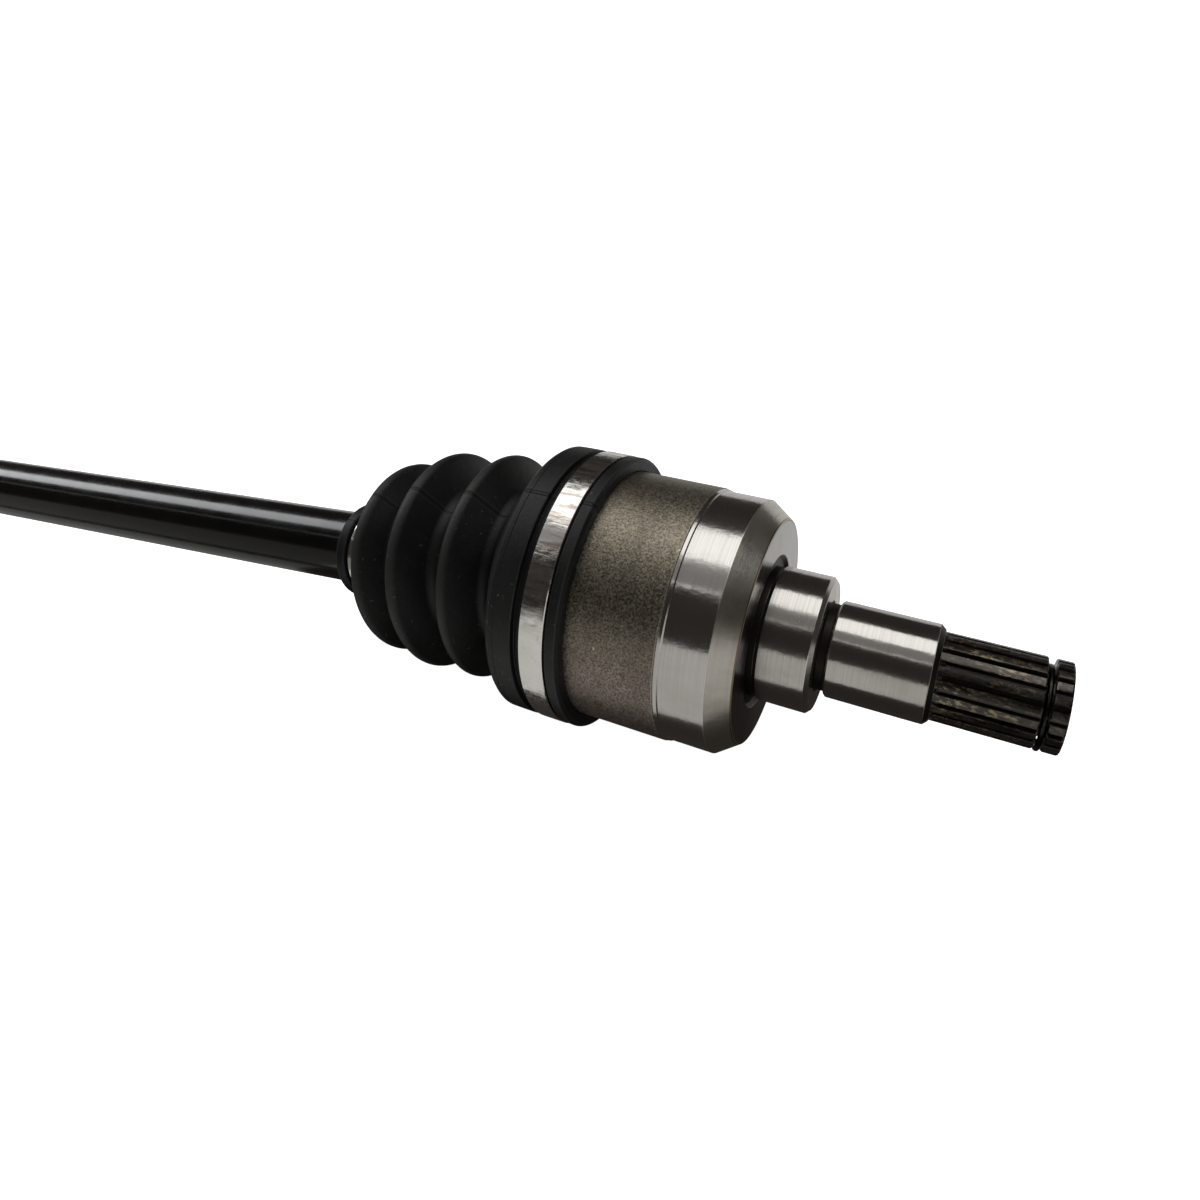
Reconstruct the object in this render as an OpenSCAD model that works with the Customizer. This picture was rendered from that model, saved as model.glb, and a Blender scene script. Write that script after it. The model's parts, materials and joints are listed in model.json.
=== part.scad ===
// Front drive axle: a solid bar with a plunging ball joint at the gearbox end (+X)
// and a fixed ball joint at the wheel end (-X). Millimetres, +Z up.
// The origin is the middle of the bar. The plunging joint hangs at a small droop.

/* [Bar] */
// Distance between the centres of the two ball joints
joint_distance = 500; // [430:5:700]
// Diameter of the solid bar
bar_d = 26; // [25.6:0.1:26.2]
// Droop of the plunging joint's housing, in degrees
droop = 6.2; // [0:0.1:8]

/* [Ball joints] */
// Diameter of each ball
ball_d = 15; // [14.6:0.1:15]
// Radius of the circle through the ball centres
pitch_r = 25; // [24.8:0.1:25.1]
// Balls in each joint
ball_count = 6; // [6:1:6]

/* [Gearbox end] */
// Diameter of the forged skin of the housing
inner_forged_d = 78; // [77:0.5:80]
// Diameter of the turned band next to the face
inner_band_d = 76.6; // [74:0.1:76.8]
// Diameter of the journal that the oil seal runs on
seal_journal_d = 40; // [36:0.5:44]
// Diameter of the journal that the differential bore holds
pilot_journal_d = 28; // [27.5:0.1:30]
// Outer diameter of the gearbox spline
inner_spline_d = 24.6; // [24:0.1:25]
// Teeth on the gearbox spline
inner_spline_teeth = 20; // [20:1:30]

/* [Wheel end] */
// Diameter of the bell
outer_bell_d = 80; // [79:0.5:82]
// Diameter of the journal behind the wheel spline
hub_journal_d = 30; // [29:0.5:32]
// Outer diameter of the wheel spline
outer_spline_d = 27; // [26:0.1:28]
// Teeth on the wheel spline
outer_spline_teeth = 28; // [20:1:30]
// Diameter of the axle nut's thread
nut_thread_d = 22; // [20:0.5:24]
// Pitch of the axle nut's thread
nut_thread_pitch = 1.5; // [1:0.25:2]

/* [Boots] */
// Radial thickness of the rubber folds
boot_wall = 1.8; // [1.4:0.1:2]
// Sides of the ring that the bent boot is swept from
boot_sides = 48; // [32:4:56]

/* [Hidden] */
$fn = 96;

joint_x = joint_distance / 2;
bar_r = bar_d / 2;
ball_r = ball_d / 2;
eps = 0.01;
over = 1; // how far a cutting shape runs past a surface
edge = 0.6; // small broken edges
clip_wire_r = 0.9;
ring_gap = 4; // opening in a wire ring
wire_sides = 32;

// Bar ends: a splined seat for the race, a circlip groove and a short nose
seat_r = 12;
seat_half = 11;
neck_r = 11.6;
neck_slope = 2;
seat_slope = 0.5;
clip_groove_x = 11.3;
clip_groove_w = 2;
clip_groove_r = 10.6;
clip_play = 0.15;
nose_l = 15.5;
nose_r = 11.7;
nose_chamfer = 1;
shoulder_l = 14;

// Race, cage and window sizes, shared by both joints
bore_play = 0.05;
race_bore_r = seat_r + bore_play;
race_sphere_r = 22.5;
cage_play = 0.4;
cage_in_r = race_sphere_r + cage_play;
cage_out_r = 28.2;
cage_half = 12;
window_gap = 0.2;
window_side = 1.2;
straight_track_gap = 0.75;
straight_track_shift = 0.3;
curved_track_gap = 1.1;
curved_track_sweep = 130;

// A spline tooth, as shares of the tooth step from its middle
tooth_root_share = 0.36;
tooth_tip_share = 0.2;

// Gearbox housing, measured along its own axis from the joint centre
inner_mouth = -22.5;
mouth_chamfer = 1;
forged_end = 28;
forged_slope = 0.5;
band_end = 41.1;
face_x = 47.5;
face_r = 33.7;
undercut_w = 1.2;
undercut_depth = 0.6;
undercut_floor = 2;
undercut_rim = 3;
seal_chamfer = 1.2;
seal_end = 64.4;
relief_end = 67.1;
relief_r = 12.6;
pilot_end = 93.9;
spline_start = 95.3;
spline_shoulder = 0.4;
inner_tooth_h = 1.5;
stub_end = 127.2;
stub_chamfer = 1.6;
envelope_play = 0.1;
stub_groove_from_end = 6.3;
stub_groove_w = 2.1;
stub_groove_r = 8.7;
stub_groove_slope = 0.4;
stub_ring_r = 10.9;
stub_ring_wire_r = 0.75;
stub_ring_drop = 1.35;
housing_bore_r = 29;
bore_end = 35;
bore_slope = 4;
bore_floor_drop = 8;
bore_flare = 1.5;
track_end = 30;
track_gap = 0.45;
retainer_x = -20.5;
retainer_w = 2.4;
retainer_wire_r = 1;
retainer_play = 0.1;
retainer_groove_r = 30.1;

// Wheel-end bell, measured outward from its joint centre
bell_mouth = -18;
bell_sphere_r = 28.7;
bell_flare_x = -9;
bell_flare_r = 27.2;
bell_flare_l = 4;
bell_flare_end_r = 20;
bell_mouth_r = 32.4;
bell_mouth_lead = 0.6;
bell_waist = 12;
dome_l = 26;
dome_end_r = 22;
dome_step = 10;
dome_last = 60;
bell_back = 36;
bell_back_r = 25;
shoulder_x = 40;
journal_end = 48;
journal_chamfer = 0.8;
outer_tooth_h = 1.4;
outer_spline_end = 86;
outer_spline_chamfer = 1.6;
thread_start = 89;
thread_relief = 1;
thread_depth_share = 0.55;
thread_runout = 1.5;
tip_l = 1;
tip_r_drop = 1.4;
end_r_drop = 2.4;
outer_end = 110;

// Boot stations: distance from the joint centre back along the bar
small_cuff_end = 104.8;
small_cuff_start = 90.5;
small_cuff_r = 17;
small_groove_r = 15.3;
small_groove_from = 100.5;
small_groove_to = 94.1;
small_cuff_floor = 14.7;
cuff_gap = 0.3;
cuff_lead = 0.8;
cuff_lead_l = 1;
bend_start = 87;
bend_end = 22;
ridge_from = 23.8;
ridge_to = 15.3;
ridge_r = 43.2;
ridge_foot = 3.5;
ridge_round = 1.2;
ridge_drop = 0.9;
large_groove_r = 42.2;
large_groove_end = 4;
lip_end = 0.4;
lip_r = 43.2;
lip_edge = 0.4;
lip_edge_l = 1;
lip_round = 1.5;
mouth_stop_gap = 0.4;
fold_steps = 10;
fold_power = 0.8;

// Each fold of a boot: [station of its start valley, valley radius, crest radius]
inner_folds = [[90.5, 16.4, 33], [71.5, 24, 36.9], [53.5, 25.5, 37.5]];
inner_fold_end = [33.8, 27.5];
outer_folds = [[90.5, 16.4, 26], [79.5, 20, 30], [68, 24, 33.5], [56, 28, 36.5], [43.5, 30.5, 39]];
outer_fold_end = [31, 33];

// Clamps: thin steel bands with a crimped ear
band_t = 0.8;
small_band_w = 5.2;
large_band_w = 7.6;
large_band_x = 8.7;
small_band_x = 97.1;
small_band_gap = 0.1;
large_band_gap = 0.3;
ear_l = 9;
ear_h = 2.6;
ear_side = 0.5;
ear_lift = 0.2;

steel = "silver";
forged = "dimgray";
rubber = [0.08, 0.08, 0.08];
black_paint = [0.05, 0.05, 0.06];

// ---- placement ----

// The gearbox joint centre, with the housing's own axis turned down by the droop
module at_inner_joint(turn = 0) {
    translate([joint_x, 0, 0])
        rotate([0, turn, 0]) children();
}

// The wheel joint centre, with +X of the child pointing out to the wheel
module at_outer_joint() {
    translate([-joint_x, 0, 0])
        rotate([0, 0, 180]) children();
}

// Turns a profile of [along the axis, radius] points about the X axis
module turned(points) {
    rotate([90, 0, 90])
        rotate_extrude()
            polygon([for (p = points) [p[1], p[0]]]);
}

// A rod along X between two stations
module rod(from, to, r) {
    translate([from, 0, 0])
        rotate([0, 90, 0]) cylinder(r = r, h = to - from);
}

// ---- ball joint internals ----

module one_ball(i) {
    color("gainsboro")
        rotate([-360 * (i - 1) / ball_count, 0, 0])
            translate([0, pitch_r, 0]) sphere(r = ball_r);
}

// Spherical cage with one rectangular window to a ball
module cage() {
    color("slategray") difference() {
        rotate([90, 0, 90]) rotate_extrude() intersection() {
            difference() {
                circle(r = cage_out_r);
                circle(r = cage_in_r);
            }
            translate([0, -cage_half]) square([cage_out_r + over, 2 * cage_half]);
        }
        for (i = [0 : ball_count - 1])
            rotate([360 * i / ball_count, 0, 0])
                translate([-ball_r - window_gap, cage_in_r / 2, -ball_r - window_side])
                    cube([ball_d + 2 * window_gap, cage_out_r, ball_d + 2 * window_side]);
    }
}

module race_blank() {
    difference() {
        intersection() {
            sphere(r = race_sphere_r);
            rod(-seat_half, seat_half, race_sphere_r + over);
        }
        rod(-seat_half - over, seat_half + over, race_bore_r);
    }
}

// Straight ball tracks let the balls roll along the housing
module straight_tracks(from, to, shift, gap) {
    for (i = [0 : ball_count - 1])
        rotate([360 * i / ball_count, 0, 0])
            translate([0, pitch_r - shift, 0])
                rod(from, to, ball_r + gap);
}

// Curved ball tracks follow an arc about the joint centre
module curved_tracks() {
    for (i = [0 : ball_count - 1])
        rotate([360 * i / ball_count, 0, 0])
            rotate([0, 0, 90 - curved_track_sweep / 2])
                rotate_extrude(angle = curved_track_sweep)
                    translate([pitch_r, 0]) circle(r = ball_r + curved_track_gap);
}

// Open wire ring; the gap faces down
module wire_ring(x, ring_r, wire_r) {
    difference() {
        translate([x, 0, 0])
            rotate([0, 90, 0])
                rotate_extrude() translate([ring_r, 0]) circle(r = wire_r, $fn = wire_sides);
        translate([x - 2 * wire_r, -ring_gap / 2, -ring_r - 2 * wire_r])
            cube([4 * wire_r, ring_gap, 4 * wire_r]);
    }
}

// ---- splines and thread ----

// Cross-section with straight-sided teeth
module spline_section(outer_r, root_r, teeth) {
    step = 360 / teeth;
    corners = [[-tooth_root_share, 0], [-tooth_tip_share, 1], [tooth_tip_share, 1], [tooth_root_share, 0]];
    polygon([for (i = [0 : teeth - 1], corner = corners)
        let (a = (i + corner[0]) * step, r = root_r + corner[1] * (outer_r - root_r))
        [r * cos(a), r * sin(a)]]);
}

// Splined length of a stub, shaped by a turned envelope
module splined(from, to, outer_r, root_r, teeth, envelope) {
    intersection() {
        translate([from, 0, 0])
            rotate([90, 0, 90])
                linear_extrude(to - from) spline_section(outer_r, root_r, teeth);
        turned(envelope);
    }
}

// ---- bar ----

// Half of the bar's outline, from the middle out to one nose
function bar_half_profile() = [
    [0, 0], [0, bar_r],
    [joint_x - shoulder_l - neck_slope, bar_r], [joint_x - shoulder_l, neck_r],
    [joint_x - seat_half - seat_slope, neck_r], [joint_x - seat_half, seat_r],
    [joint_x + clip_groove_x, seat_r], [joint_x + clip_groove_x, clip_groove_r],
    [joint_x + clip_groove_x + clip_groove_w, clip_groove_r],
    [joint_x + clip_groove_x + clip_groove_w, nose_r],
    [joint_x + nose_l - nose_chamfer, nose_r], [joint_x + nose_l, nose_r - nose_chamfer],
    [joint_x + nose_l, 0]];

module shaft_bar() {
    color(black_paint) union() {
        turned(bar_half_profile());
        mirror([1, 0, 0]) turned(bar_half_profile());
    }
}

// ---- gearbox end ----

module inner_race() {
    color(steel) at_inner_joint() difference() {
        race_blank();
        straight_tracks(-seat_half - over, seat_half + over, straight_track_shift, straight_track_gap);
    }
}

module inner_race_circlip() {
    color(forged) at_inner_joint()
        wire_ring(clip_groove_x + clip_groove_w / 2, clip_groove_r + clip_wire_r + clip_play, clip_wire_r);
}

module inner_cage() {
    at_inner_joint(droop / 2) cage();
}

module inner_ball(i) {
    at_inner_joint(droop / 2) one_ball(i);
}

module inner_housing() {
    spline_r = inner_spline_d / 2;
    band_r = inner_band_d / 2;
    forged_r = inner_forged_d / 2;
    seal_r = seal_journal_d / 2;
    pilot_r = pilot_journal_d / 2;
    groove_start = stub_end - stub_groove_from_end;
    groove_end = groove_start + stub_groove_w;
    color(steel) at_inner_joint(droop) difference() {
        union() {
            turned([
                [inner_mouth, 0], [inner_mouth, forged_r - mouth_chamfer],
                [inner_mouth + mouth_chamfer, forged_r],
                [forged_end - forged_slope, forged_r], [forged_end, band_r], [band_end, band_r],
                [face_x, face_r], [face_x, seal_r + undercut_rim],
                [face_x - undercut_w, seal_r + undercut_floor],
                [face_x - undercut_w, seal_r - undercut_depth],
                [face_x + undercut_w, seal_r - undercut_depth], [face_x + 2 * undercut_w, seal_r],
                [seal_end - seal_chamfer, seal_r], [seal_end, seal_r - seal_chamfer],
                [seal_end, relief_r], [relief_end, relief_r],
                [relief_end, pilot_r - edge], [relief_end + edge, pilot_r],
                [pilot_end, pilot_r], [spline_start, spline_r + spline_shoulder], [spline_start, 0]]);
            splined(spline_start - eps, stub_end, spline_r, spline_r - inner_tooth_h, inner_spline_teeth, [
                [spline_start - over, 0], [spline_start - over, spline_r + over],
                [groove_start - stub_groove_slope, spline_r + over],
                [groove_start, spline_r - edge], [groove_start, stub_groove_r],
                [groove_end, stub_groove_r], [groove_end, spline_r - edge],
                [groove_end + stub_groove_slope, spline_r + envelope_play],
                [stub_end - stub_chamfer, spline_r + envelope_play],
                [stub_end, spline_r - stub_chamfer], [stub_end, 0]]);
        }
        turned([
            [inner_mouth - over, 0], [inner_mouth - over, housing_bore_r + bore_flare + edge],
            [inner_mouth, housing_bore_r + bore_flare], [inner_mouth + bore_flare, housing_bore_r],
            [bore_end - bore_slope, housing_bore_r],
            [bore_end, housing_bore_r - bore_floor_drop], [bore_end, 0]]);
        straight_tracks(inner_mouth - over, track_end, 0, track_gap);
        turned([
            [retainer_x, housing_bore_r - over], [retainer_x, retainer_groove_r],
            [retainer_x + retainer_w, retainer_groove_r],
            [retainer_x + retainer_w, housing_bore_r - over]]);
    }
}

// Wire ring that keeps the balls in the housing
module inner_retaining_ring() {
    color(forged) at_inner_joint(droop)
        wire_ring(retainer_x + retainer_w / 2,
            retainer_groove_r - retainer_wire_r - retainer_play, retainer_wire_r);
}

// Loose wire ring near the end of the spline: it hangs down in its deep groove
module inner_stub_circlip() {
    color("black") at_inner_joint(droop) translate([0, 0, -stub_ring_drop])
        wire_ring(stub_end - stub_groove_from_end + stub_groove_w / 2, stub_ring_r, stub_ring_wire_r);
}

// ---- wheel end ----

module outer_race() {
    color(steel) at_outer_joint() difference() {
        race_blank();
        curved_tracks();
    }
}

module outer_race_circlip() {
    color(forged) at_outer_joint()
        wire_ring(clip_groove_x + clip_groove_w / 2, clip_groove_r + clip_wire_r + clip_play, clip_wire_r);
}

module outer_cage() {
    at_outer_joint() cage();
}

module outer_ball(i) {
    at_outer_joint() one_ball(i);
}

// Crest and root points of the nut thread
function thread_profile(from, to, r, pitch) = [
    for (i = [0 : floor((to - from) / pitch) - 1], half = [0, 1])
        [from + (i + half / 2) * pitch, r - half * pitch * thread_depth_share]];

// Rounded shoulder of the bell, from its widest part towards the stub
function bell_dome(bell_r) = [
    for (a = [dome_step : dome_step : dome_last])
        [bell_waist + dome_l * sin(a), dome_end_r + (bell_r - dome_end_r) * cos(a)]];

module outer_housing() {
    bell_r = outer_bell_d / 2;
    spline_r = outer_spline_d / 2;
    journal_r = hub_journal_d / 2;
    thread_r = nut_thread_d / 2;
    color(forged) at_outer_joint() difference() {
        union() {
            turned(concat([
                [bell_mouth, 0], [bell_mouth, bell_r - mouth_chamfer],
                [bell_mouth + mouth_chamfer, bell_r], [bell_waist, bell_r]],
                bell_dome(bell_r),
                [[bell_back, bell_back_r], [shoulder_x, bell_back_r],
                [shoulder_x, journal_r + journal_chamfer], [shoulder_x + journal_chamfer, journal_r],
                [journal_end - journal_chamfer, journal_r],
                [journal_end, journal_r - journal_chamfer], [journal_end, 0]]));
            splined(journal_end - eps, outer_spline_end, spline_r, spline_r - outer_tooth_h,
                outer_spline_teeth, [
                [journal_end - over, 0], [journal_end - over, spline_r + over],
                [outer_spline_end - outer_spline_chamfer, spline_r + envelope_play],
                [outer_spline_end, spline_r - outer_spline_chamfer + envelope_play],
                [outer_spline_end, 0]]);
            turned(concat([
                [outer_spline_end - eps, 0], [outer_spline_end - eps, thread_r - thread_relief],
                [thread_start, thread_r - thread_relief]],
                thread_profile(thread_start, outer_end - thread_runout, thread_r, nut_thread_pitch),
                [[outer_end - tip_l, thread_r - tip_r_drop], [outer_end, thread_r - end_r_drop],
                [outer_end, 0]]));
        }
        sphere(r = bell_sphere_r);
        turned([
            [bell_mouth - over, 0], [bell_mouth - over, bell_mouth_r + bell_mouth_lead],
            [bell_mouth, bell_mouth_r], [bell_flare_x, bell_flare_r],
            [bell_flare_x + bell_flare_l, bell_flare_end_r], [bell_flare_x + bell_flare_l, 0]]);
        curved_tracks();
    }
}

// ---- boots and clamps ----

// How much of the droop a boot station has taken up, from 0 at the bar to 1 at the housing
function bend_share(s) = min(1, max(0, (bend_start - s) / (bend_start - bend_end)));

// Outside radius points along the folds, from the small cuff to the last valley
function fold_profile(folds, last) = [
    for (f = [0 : len(folds) - 1])
        let (here = folds[f], next = f + 1 < len(folds) ? folds[f + 1] : [last[0], last[1]])
        for (k = [0 : fold_steps - 1])
            let (t = k / fold_steps, base = here[1] + (next[1] - here[1]) * t,
                 rise = here[2] - (here[1] + next[1]) / 2)
            [here[0] + (next[0] - here[0]) * t, base + rise * pow(sin(180 * t), fold_power)]];

// Closed outline of a boot's wall as [station, radius], outside first and then back inside
function boot_outline(folds, last, large_bore) =
    let (outside = fold_profile(folds, last))
    concat(
        [[small_cuff_end, small_cuff_r - edge], [small_cuff_end - edge, small_cuff_r],
         [small_groove_from, small_cuff_r], [small_groove_from, small_groove_r],
         [small_groove_to, small_groove_r], [small_groove_to, small_cuff_r]],
        outside,
        [[last[0], last[1]], [ridge_from + ridge_round, ridge_r - ridge_foot],
         [ridge_from, ridge_r - ridge_drop], [ridge_from - ridge_round, ridge_r],
         [ridge_to, ridge_r], [ridge_to, large_groove_r],
         [large_groove_end, large_groove_r], [large_groove_end, lip_r - lip_edge],
         [large_groove_end - lip_edge_l, lip_r], [lip_end + lip_round, lip_r],
         [lip_end, lip_r - lip_round], [lip_end, large_bore],
         [-inner_mouth + mouth_stop_gap, large_bore],
         [-inner_mouth + mouth_stop_gap, last[1] - boot_wall], [last[0], last[1] - boot_wall]],
        [for (i = [len(outside) - 1 : -1 : 1])
            [outside[i][0], max(small_cuff_floor, outside[i][1] - boot_wall)]],
        [[small_cuff_start, bar_r + cuff_gap + cuff_lead],
         [small_cuff_start + cuff_lead_l, bar_r + cuff_gap],
         [small_cuff_end, bar_r + cuff_gap]]);

// Sweeps the outline round the bar axis, bending it about the joint centre
module bent_boot(outline) {
    n = len(outline);
    sides = boot_sides;
    widen = 1 / cos(180 / sides);
    points = [for (p = outline, j = [0 : sides - 1])
        let (turn = droop * bend_share(p[0]), a = 360 * j / sides,
             x = -p[0], y = p[1] * widen * cos(a), z = p[1] * widen * sin(a))
        [x * cos(turn) + z * sin(turn), y, -x * sin(turn) + z * cos(turn)]];
    faces = [for (i = [0 : n - 1], j = [0 : sides - 1])
        let (i2 = (i + 1) % n, j2 = (j + 1) % sides)
        for (tri = [[i * sides + j, i2 * sides + j, i2 * sides + j2],
                    [i * sides + j, i2 * sides + j2, i * sides + j2]]) tri];
    polyhedron(points = points, faces = faces, convexity = 8);
}

module inner_boot() {
    color(rubber) at_inner_joint()
        bent_boot(boot_outline(inner_folds, inner_fold_end, inner_forged_d / 2 + cuff_gap));
}

module outer_boot() {
    outline = boot_outline(outer_folds, outer_fold_end, outer_bell_d / 2 + cuff_gap);
    color(rubber) at_outer_joint()
        turned([for (p = outline) [-p[0], p[1]]]);
}

// Steel band with one crimped ear, centred at a station behind the joint
module clamp_band(station, r, width) {
    union() {
        turned([[-station - width / 2, r], [-station - width / 2, r + band_t],
            [-station + width / 2, r + band_t], [-station + width / 2, r]]);
        translate([-station - width / 2 + ear_side, -ear_l / 2, -r - ear_h])
            cube([width - 2 * ear_side, ear_l, ear_h - ear_lift]);
    }
}

module inner_boot_clamp_small() {
    color(steel) at_inner_joint()
        clamp_band(small_band_x, small_groove_r + small_band_gap, small_band_w);
}

module inner_boot_clamp_large() {
    color(steel) at_inner_joint(droop)
        clamp_band(large_band_x, large_groove_r + large_band_gap, large_band_w);
}

module outer_boot_clamp_small() {
    color(steel) at_outer_joint()
        clamp_band(small_band_x, small_groove_r + small_band_gap, small_band_w);
}

module outer_boot_clamp_large() {
    color(steel) at_outer_joint()
        clamp_band(large_band_x, large_groove_r + large_band_gap, large_band_w);
}

shaft_bar();
inner_race();
inner_race_circlip();
inner_cage();
inner_ball(1);  // inner_ball_1
inner_ball(2);  // inner_ball_2
inner_ball(3);  // inner_ball_3
inner_ball(4);  // inner_ball_4
inner_ball(5);  // inner_ball_5
inner_ball(6);  // inner_ball_6
inner_boot();
inner_boot_clamp_small();
inner_boot_clamp_large();
inner_housing();
inner_retaining_ring();
inner_stub_circlip();
outer_race();
outer_race_circlip();
outer_cage();
outer_ball(1);  // outer_ball_1
outer_ball(2);  // outer_ball_2
outer_ball(3);  // outer_ball_3
outer_ball(4);  // outer_ball_4
outer_ball(5);  // outer_ball_5
outer_ball(6);  // outer_ball_6
outer_boot();
outer_boot_clamp_small();
outer_boot_clamp_large();
outer_housing();
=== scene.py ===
"""Looks for the front drive axle: painted bar, rubber boots, steel clamps, gearbox housing and wheel bell."""

import json
import math

import bpy
import numpy as np
from mathutils import Matrix, Quaternion, Vector


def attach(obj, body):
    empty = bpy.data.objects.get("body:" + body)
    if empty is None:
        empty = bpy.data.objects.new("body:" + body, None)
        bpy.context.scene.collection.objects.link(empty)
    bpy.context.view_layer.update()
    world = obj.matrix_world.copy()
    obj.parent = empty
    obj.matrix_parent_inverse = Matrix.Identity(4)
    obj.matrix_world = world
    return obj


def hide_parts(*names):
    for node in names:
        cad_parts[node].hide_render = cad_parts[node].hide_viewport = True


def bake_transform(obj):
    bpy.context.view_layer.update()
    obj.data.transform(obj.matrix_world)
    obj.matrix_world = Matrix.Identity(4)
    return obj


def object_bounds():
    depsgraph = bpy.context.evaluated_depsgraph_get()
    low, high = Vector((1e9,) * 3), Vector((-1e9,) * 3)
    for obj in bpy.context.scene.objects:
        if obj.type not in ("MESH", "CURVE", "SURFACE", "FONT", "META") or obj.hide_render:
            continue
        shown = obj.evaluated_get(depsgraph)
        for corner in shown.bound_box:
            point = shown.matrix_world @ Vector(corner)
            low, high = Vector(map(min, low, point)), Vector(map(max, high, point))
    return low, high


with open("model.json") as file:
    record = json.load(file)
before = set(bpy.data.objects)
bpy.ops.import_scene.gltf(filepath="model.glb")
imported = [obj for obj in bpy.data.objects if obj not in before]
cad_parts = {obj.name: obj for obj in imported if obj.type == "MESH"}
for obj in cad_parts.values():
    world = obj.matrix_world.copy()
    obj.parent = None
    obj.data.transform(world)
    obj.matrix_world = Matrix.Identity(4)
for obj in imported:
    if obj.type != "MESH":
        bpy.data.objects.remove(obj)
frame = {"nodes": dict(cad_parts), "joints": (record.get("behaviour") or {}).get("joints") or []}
cad_low, cad_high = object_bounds()

MM = 0.001
SIDES = 192
JOINTS = {joint["name"]: joint for joint in frame["joints"]}
INNER = Vector(JOINTS["inner_tilt"]["pos_m"])
OUTER = Vector(JOINTS["outer_tilt"]["pos_m"])
housing_axis = Vector(JOINTS["inner_plunge"]["axis"])
DROOP = math.atan2(-housing_axis.z, housing_axis.x)
HALF_SPAN = INNER.x / MM

AT_BAR = Matrix.Identity(4)
AT_INNER = Matrix.Translation(INNER)
AT_HOUSING = AT_INNER @ Matrix.Rotation(DROOP, 4, "Y")
AT_OUTER = Matrix.Translation(OUTER) @ Matrix.Rotation(math.pi, 4, "Z")


# ---------------------------------------------------------------- profiles

def unit(v):
    return v / max(np.linalg.norm(v), 1e-12)


def rounded(corners, steps=4):
    """Rows [h, r, normal h, normal r, wear, look] along corners [h, r, fillet, look].

    h runs along the turned piece's axis and r away from it. The outside is on the left of the way along.
    """
    rows = []
    points = [np.array(c[:2], float) for c in corners]
    for i, corner in enumerate(corners):
        h, r, fillet, look = corner
        before = unit(points[i] - points[i - 1]) if i else None
        after = unit(points[i + 1] - points[i]) if i + 1 < len(corners) else None
        if before is None or after is None:
            way = after if before is None else before
            rows.append([h, r, -way[1], way[0], 0.0, look])
            continue
        turn = math.atan2(before[0] * after[1] - before[1] * after[0], before @ after)
        if not fillet or abs(turn) < 1e-3:
            rows.append([h, r, -before[1], before[0], 0.0, look])
            rows.append([h, r, -after[1], after[0], 0.0, look])
            continue
        convex = turn < 0
        side = 1.0 if convex else -1.0
        start = points[i] - before * fillet * math.tan(abs(turn) / 2)
        normal = np.array([-before[1], before[0]])
        centre = start - side * fillet * normal
        for k in range(steps + 1):
            a = turn * k / steps
            n = np.array([normal[0] * math.cos(a) - normal[1] * math.sin(a),
                          normal[0] * math.sin(a) + normal[1] * math.cos(a)])
            p = centre + side * fillet * n
            worn = math.sin(math.pi * k / steps) if convex else 0.0
            rows.append([p[0], p[1], n[0], n[1], worn, look])
    return rows


def flipped(rows):
    """The same rows walked the other way, facing the other way."""
    return [[h, r, -nh, -nr, 0.0, look] for h, r, nh, nr, worn, look in reversed(rows)]


def moved_in(rows, wall, least):
    """The inside of a wall whose outside is rows."""
    return [[h, max(r - wall, least), nh, nr, worn, look] for h, r, nh, nr, worn, look in rows]


def joined(*parts):
    """Parts in a row, with a flat step between two that don't meet."""
    rows = []
    for part in list(parts) + [parts[0][:1]]:
        if rows and math.hypot(rows[-1][0] - part[0][0], rows[-1][1] - part[0][1]) > 1e-6:
            ends = [np.array(rows[-1][:2]), np.array(part[0][:2])]
            way = unit(ends[1] - ends[0])
            rows += [[end[0], end[1], -way[1], way[0], 0.0, part[0][5]] for end in ends]
        rows += part
    return rows[:-1]


# ---------------------------------------------------------------- meshes

def new_piece(name, verts, faces, face_looks, looks, place, body):
    """A piece whose mesh is put in the row frame, riding on a body."""
    mesh = bpy.data.meshes.new(name)
    mesh.from_pydata([tuple(v) for v in verts], [], faces)
    for look in looks:
        mesh.materials.append(look)
    mesh.polygons.foreach_set("material_index", face_looks)
    mesh.polygons.foreach_set("use_smooth", [True] * len(faces))
    piece = bpy.data.objects.new(name, mesh)
    bpy.context.scene.collection.objects.link(piece)
    mesh.transform(place)
    if body:
        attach(piece, body)
    return piece


def add_attributes(mesh, own, worn):
    """The unbent place of each vertex, in metres, and how worn it is, for the materials."""
    place = mesh.attributes.new("own", "FLOAT_VECTOR", "POINT")
    place.data.foreach_set("vector", np.asarray(own, np.float32).ravel())
    wear = mesh.attributes.new("worn", "FLOAT", "POINT")
    wear.data.foreach_set("value", np.asarray(worn, np.float32).ravel())


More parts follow.
